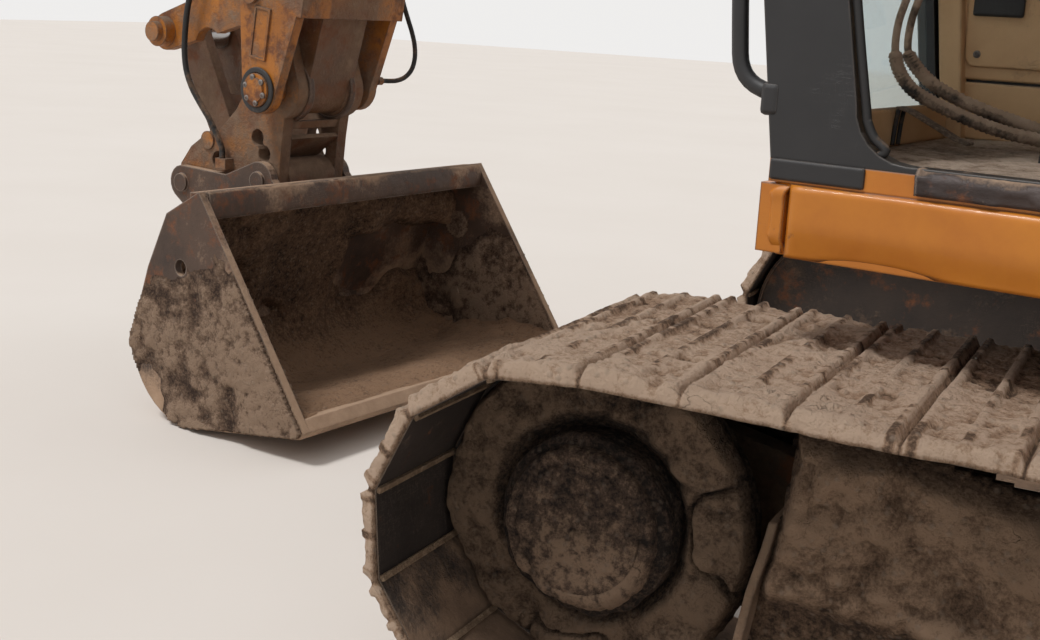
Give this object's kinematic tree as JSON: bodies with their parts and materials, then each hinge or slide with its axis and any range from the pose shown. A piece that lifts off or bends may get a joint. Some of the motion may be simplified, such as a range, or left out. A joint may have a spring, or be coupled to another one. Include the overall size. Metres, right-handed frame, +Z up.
{
  "type": "crawler excavator",
  "caption": "Tracked excavator with a slewing cab platform, a two-piece boom, a stick and a quick coupler that carries a wide smooth-edged bucket.",
  "frame": {"origin": "on the ground under the middle of the machine's box", "axes": "+X along the tracks towards the sprockets, the final drives and, nearly, the bucket; +Y to the left, the cab's side; +Z up"},
  "size_m": [7.3391, 3.2741, 4.7455],
  "materials": {
    "ochre_paint": "weathered, dusty orange-yellow paint with scratches",
    "black_paint": "satin",
    "worn_steel": "rusty, scoured steel",
    "muddy_steel": "steel under dried mud",
    "rod_chrome": "polished",
    "black_plastic": "moulded",
    "seat_cloth": "woven",
    "window_glass": "tinted",
    "lamp_glass": "clear",
    "hose_rubber": "hydraulic hose"
  },
  "bodies": {
    "tracks": {"car_body": "ochre_paint", "track_frames": "ochre_paint", "track_chains": "muddy_steel", "sprockets": "worn_steel", "final_drives": "muddy_steel", "rollers": "worn_steel", "slew_ring": "worn_steel"},
    "upper": {"platform": "black_paint", "boom_towers": "black_paint", "swing_gear": "black_paint", "deck_skirts": "ochre_paint", "counterweight": "ochre_paint", "engine": "worn_steel", "engine_house": "ochre_paint", "tanks": "ochre_paint", "handrails": "black_paint", "exhaust": "black_paint", "cab_floor": "ochre_paint", "cab_shell": "black_paint", "cab_roof": "ochre_paint", "cab_windows": "window_glass", "seat_base": "black_plastic", "seat_cushion": "seat_cloth", "seat_back": "seat_cloth", "cab_controls": "black_plastic", "work_lamps": "lamp_glass"},
    "cab_door": {"cab_door": "ochre_paint", "door_glass": "window_glass"},
    "hood": {"hood": "ochre_paint"},
    "side_door_left": {"side_door_left": "ochre_paint"},
    "side_door_right": {"side_door_right": "ochre_paint"},
    "boom_base": {"boom_base": "ochre_paint"},
    "boom_upper": {"boom_upper": "ochre_paint"},
    "stick": {"stick": "ochre_paint", "near_hose": "hose_rubber", "far_hose": "hose_rubber"},
    "levers": {"tipping_levers": "ochre_paint"},
    "link": {"bucket_link": "ochre_paint"},
    "bucket": {"coupler": "ochre_paint", "bucket_shell": "worn_steel", "bucket_sides": "worn_steel", "bucket_ears": "worn_steel"},
    "boom_barrels": {"boom_barrels": "ochre_paint"},
    "boom_rods": {"boom_rods": "rod_chrome"},
    "adjust_barrel": {"adjust_barrel": "ochre_paint"},
    "adjust_rod": {"adjust_rod": "rod_chrome"},
    "stick_barrel": {"stick_barrel": "ochre_paint"},
    "stick_rod": {"stick_rod": "rod_chrome"},
    "bucket_barrel": {"bucket_barrel": "ochre_paint"},
    "bucket_rod": {"bucket_rod": "rod_chrome"}
  },
  "joints": [
    {"name": "slew", "type": "hinge", "parent": "tracks", "child": "upper", "pos_m": [-0.92, -0.042, 0.99], "axis": [0, 0, 1], "continuous": true},
    {"name": "cab_door_hinge", "type": "hinge", "parent": "upper", "child": "cab_door", "pos_m": [-0.309, 1.2631, 2], "axis": [0, 0, 1], "range_deg": [-176, 0]},
    {"name": "hood_hinge", "type": "hinge", "parent": "upper", "child": "hood", "pos_m": [-1.61258, 0.05965, 2.17], "axis": [0.1452, 0.9894, 0], "range_deg": [0, 60]},
    {"name": "side_door_left_hinge", "type": "hinge", "parent": "upper", "child": "side_door_left", "pos_m": [-2.68298, 1.60174, 1.65], "axis": [0, 0, 1], "range_deg": [0, 110]},
    {"name": "side_door_right_hinge", "type": "hinge", "parent": "upper", "child": "side_door_right", "pos_m": [-3.08097, -1.1098, 1.65], "axis": [0, 0, -1], "range_deg": [0, 110]},
    {"name": "boom_base_hinge", "type": "hinge", "parent": "upper", "child": "boom_base", "pos_m": [-0.76796, -0.03905, 1.7], "axis": [-0.1452, -0.9894, 0], "range_deg": [-76, 2]},
    {"name": "boom_upper_hinge", "type": "hinge", "parent": "boom_base", "child": "boom_upper", "pos_m": [-0.40932, -0.09169, 4.27461], "axis": [-0.1452, -0.9894, 0], "range_deg": [-8, 60]},
    {"name": "stick_hinge", "type": "hinge", "parent": "boom_upper", "child": "stick", "pos_m": [2.54785, -0.52573, 4.0163], "axis": [0.1452, 0.9894, 0], "range_deg": [-55, 13]},
    {"name": "bucket_hinge", "type": "hinge", "parent": "stick", "child": "bucket", "pos_m": [2.9967, -0.59161, 1.152], "axis": [0.1452, 0.9894, 0], "range_deg": [-55, 85], "deforming": ["near_hose"]},
    {"name": "lever_hinge", "type": "hinge", "parent": "stick", "child": "levers", "pos_m": [3.03414, -0.5971, 1.50122], "axis": [0.1452, 0.9894, 0], "range_deg": [-39.52, 60.98]},
    {"name": "link_hinge", "type": "hinge", "parent": "levers", "child": "link", "pos_m": [3.56561, -0.67511, 1.335], "axis": [0.1452, 0.9894, 0], "range_deg": [-25.27, 16.43]},
    {"name": "boom_barrel_hinge", "type": "hinge", "parent": "upper", "child": "boom_barrels", "pos_m": [-0.07538, -0.1407, 1.29], "axis": [-0.1452, -0.9894, 0], "range_deg": [-73.35, 2.12]},
    {"name": "boom_rod_slide", "type": "slide", "parent": "boom_barrels", "child": "boom_rods", "axis": [-0.1033, 0.0152, 0.9945], "range_m": [-1.0082, 0.0285]},
    {"name": "adjust_barrel_hinge", "type": "hinge", "parent": "boom_base", "child": "adjust_barrel", "pos_m": [-0.36878, -0.09764, 2.19862], "axis": [-0.1452, -0.9894, 0], "range_deg": [-2.58, 18.01]},
    {"name": "adjust_rod_slide", "type": "slide", "parent": "adjust_barrel", "child": "adjust_rod", "axis": [0.5934, -0.0871, 0.8002], "range_m": [-0.1511, 1.1204]},
    {"name": "stick_barrel_hinge", "type": "hinge", "parent": "boom_upper", "child": "stick_barrel", "pos_m": [0.51361, -0.22715, 4.61555], "axis": [0.1452, 0.9894, 0], "range_deg": [-0.92, 3.26]},
    {"name": "stick_rod_slide", "type": "slide", "parent": "stick_barrel", "child": "stick_rod", "axis": [0.9892, -0.1452, 0.0176], "range_m": [-0.5863, 0.1401]},
    {"name": "bucket_barrel_hinge", "type": "hinge", "parent": "stick", "child": "bucket_barrel", "pos_m": [2.99756, -0.59173, 3.70355], "axis": [0.1452, 0.9894, 0], "range_deg": [-5.5, 8.38]},
    {"name": "bucket_rod_slide", "type": "slide", "parent": "bucket_barrel", "child": "bucket_rod", "axis": [0.2331, -0.0342, -0.9719], "range_m": [-0.2765, 0.4263]}
  ],
  "couplings": [
    {"joint": "lever_hinge", "follows": "bucket_hinge", "ratio": 0.715},
    {"joint": "link_hinge", "follows": "bucket_hinge", "ratio": -0.295},
    {"joint": "boom_barrel_hinge", "follows": "boom_base_hinge", "ratio": 0.9625},
    {"joint": "boom_rod_slide", "follows": "boom_base_hinge", "m_per_rad": 0.7586},
    {"joint": "adjust_barrel_hinge", "follows": "boom_upper_hinge", "ratio": 0.2969},
    {"joint": "adjust_rod_slide", "follows": "boom_upper_hinge", "m_per_rad": 1.068},
    {"joint": "stick_barrel_hinge", "follows": "stick_hinge", "ratio": -0.0557},
    {"joint": "stick_rod_slide", "follows": "stick_hinge", "m_per_rad": 0.6087},
    {"joint": "bucket_barrel_hinge", "follows": "bucket_hinge", "ratio": 0.0963},
    {"joint": "bucket_rod_slide", "follows": "bucket_hinge", "m_per_rad": 0.286}
  ]
}
